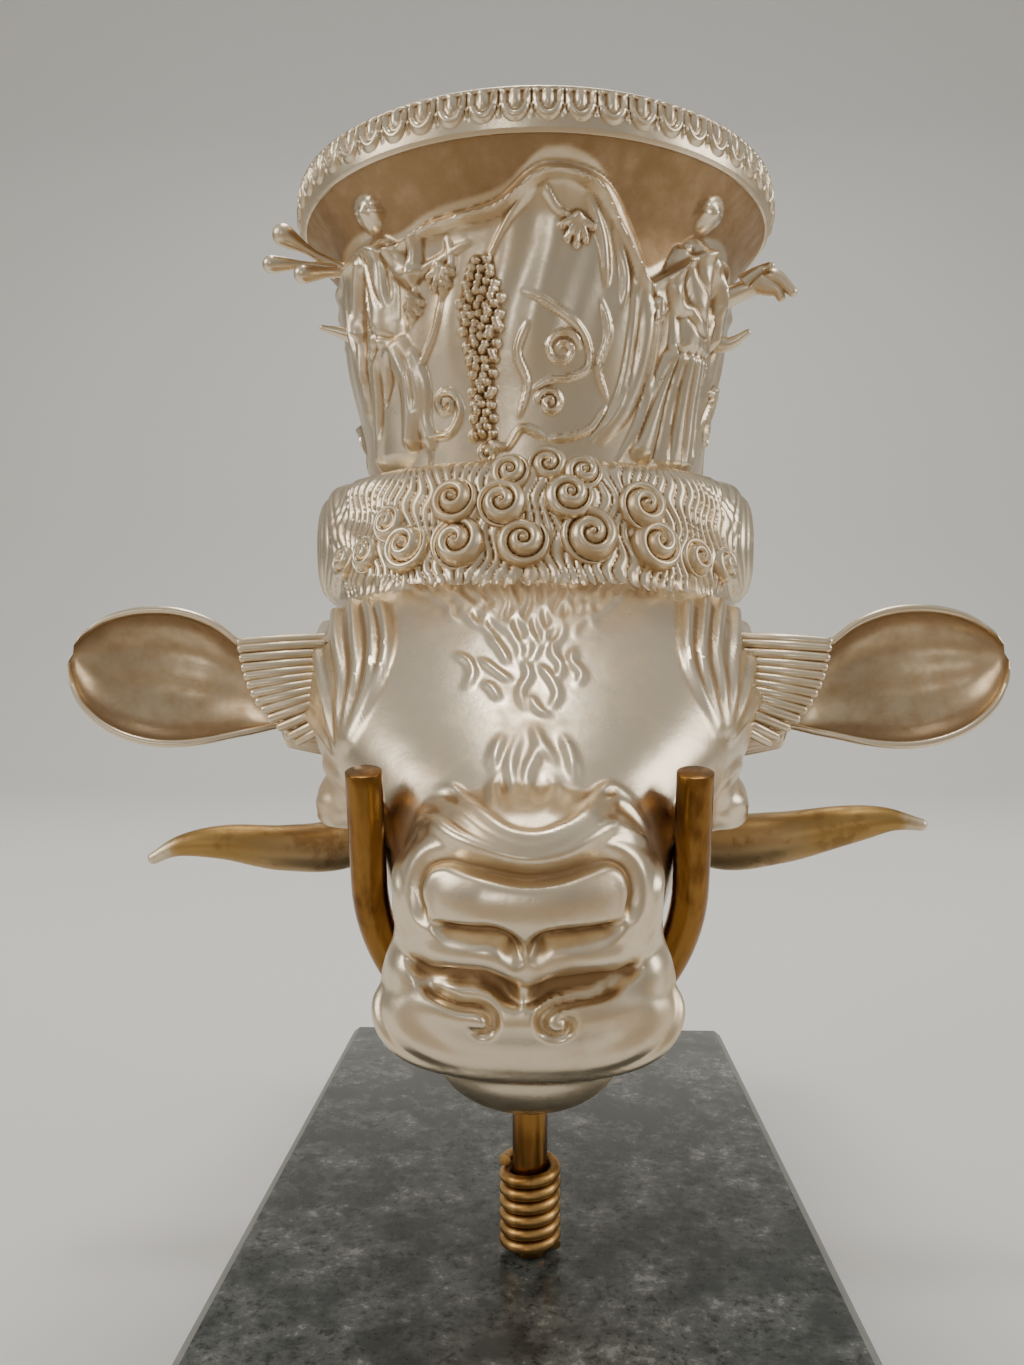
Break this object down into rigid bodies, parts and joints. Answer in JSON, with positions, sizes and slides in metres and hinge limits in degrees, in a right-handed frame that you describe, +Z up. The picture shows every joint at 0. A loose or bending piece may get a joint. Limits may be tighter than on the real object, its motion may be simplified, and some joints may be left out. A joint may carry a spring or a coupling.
{
  "type": "rhyton",
  "caption": "Silver drinking vessel: a hollow bull's head with gilded horns and a flared beaker rising from its poll, held by a brass fork on a polished stone slab.",
  "frame": {"origin": "middle of the slab's underside", "axes": "-Y the way the muzzle faces, +X to the right as the front is looked at, +Z up"},
  "size_m": [0.1854, 0.1765, 0.2332],
  "materials": {
    "silver": "aged silver, warm, soft polish with tan tarnish in the recesses",
    "gilt": "worn gilding over silver",
    "brass": "satin",
    "stone": "polished dark granite with paler flecks"
  },
  "bodies": {
    "root": {"head": "silver", "cup": "silver", "ear_right": "silver", "ear_left": "silver", "horn_right": "gilt", "horn_left": "gilt", "fork": "brass", "post": "brass", "coil": "brass", "slab": "stone"}
  },
  "joints": []
}
